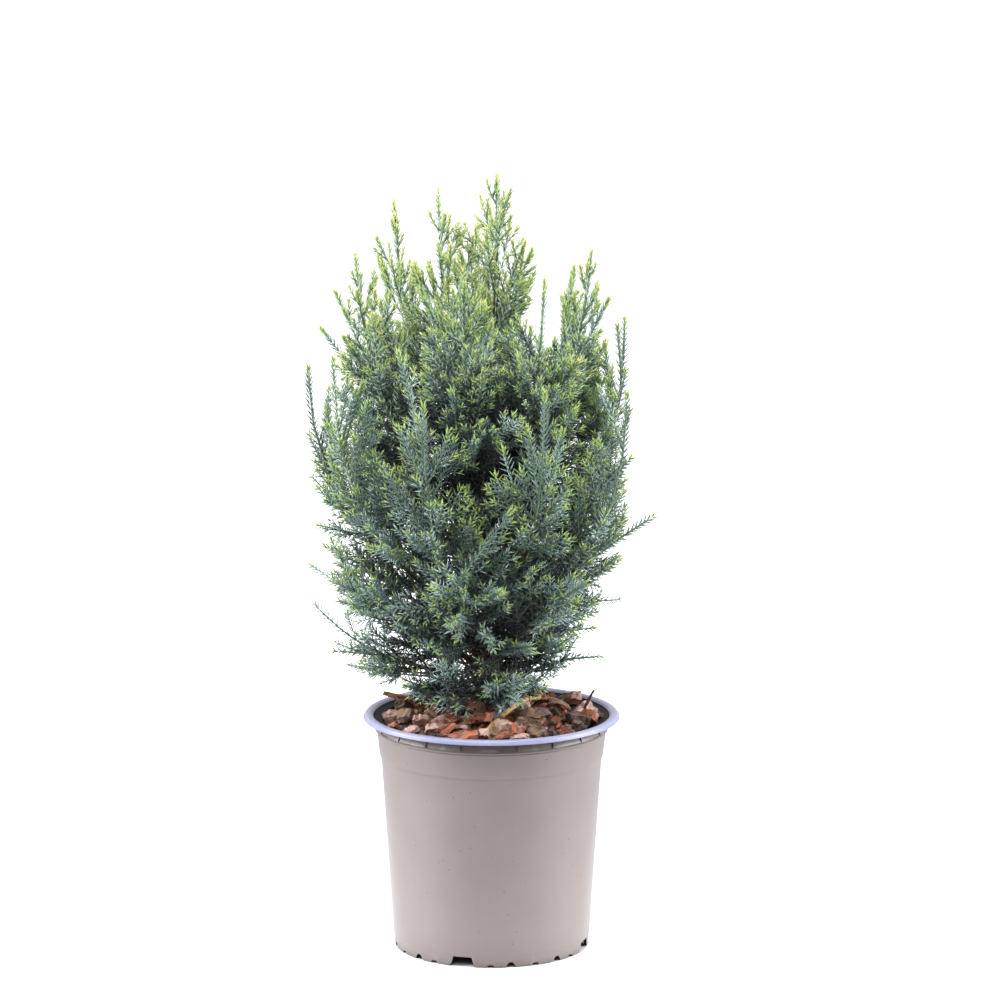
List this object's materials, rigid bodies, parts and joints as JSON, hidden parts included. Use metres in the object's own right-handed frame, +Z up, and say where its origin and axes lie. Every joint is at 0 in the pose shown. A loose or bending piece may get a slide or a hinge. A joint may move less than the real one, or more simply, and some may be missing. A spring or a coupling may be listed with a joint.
{
  "type": "potted conifer",
  "caption": "Dense upright false cypress with several leaders and fine blue-green sprays tipped with lime, in a round tapered plastic nursery pot of compost topped with bark chips.",
  "frame": {"origin": "on the pot's axis, on the surface that the pot stands on", "axes": "+Z up; the side of the plant seen in the picture faces -Y, with +X to the viewer's right"},
  "size_m": [0.1764, 0.1724, 0.3933],
  "materials": {
    "pot": "satin taupe",
    "compost": "moist, crumbly",
    "bark_chips": "rough bark flakes",
    "trunk": "young scaly bark",
    "bark": "young scaly bark",
    "foliage": "matt needles"
  },
  "bodies": {
    "root": {"pot": "pot", "compost": "compost", "bark_mulch": "bark_chips", "trunk": "trunk", "bough_spire_1": "bark", "bough_spire_2": "bark", "bough_spire_3": "bark", "bough_spire_4": "bark", "bough_spire_5": "bark", "bough_spire_6": "bark", "bough_spire_7": "bark", "bough_spire_8": "bark", "bough_flank_1": "bark", "bough_flank_2": "bark", "bough_flank_3": "bark", "bough_flank_4": "bark", "bough_flank_5": "bark", "bough_flank_6": "bark", "bough_flank_7": "bark", "bough_flank_8": "bark", "bough_flank_9": "bark", "bough_skirt_1": "bark", "bough_skirt_2": "bark", "bough_skirt_3": "bark", "bough_skirt_4": "bark", "bough_skirt_5": "bark", "bough_skirt_6": "bark", "bough_skirt_7": "bark", "foliage_spire_1": "foliage", "foliage_spire_2": "foliage", "foliage_spire_3": "foliage", "foliage_spire_4": "foliage", "foliage_spire_5": "foliage", "foliage_spire_6": "foliage", "foliage_spire_7": "foliage", "foliage_spire_8": "foliage", "foliage_flank_1": "foliage", "foliage_flank_2": "foliage", "foliage_flank_3": "foliage", "foliage_flank_4": "foliage", "foliage_flank_5": "foliage", "foliage_flank_6": "foliage", "foliage_flank_7": "foliage", "foliage_flank_8": "foliage", "foliage_flank_9": "foliage", "foliage_skirt_1": "foliage", "foliage_skirt_2": "foliage", "foliage_skirt_3": "foliage", "foliage_skirt_4": "foliage", "foliage_skirt_5": "foliage", "foliage_skirt_6": "foliage", "foliage_skirt_7": "foliage", "foliage_foot_1": "foliage", "foliage_foot_2": "foliage", "foliage_foot_3": "foliage", "foliage_foot_4": "foliage", "foliage_foot_5": "foliage", "foliage_foot_6": "foliage", "foliage_leader": "foliage"}
  },
  "joints": []
}
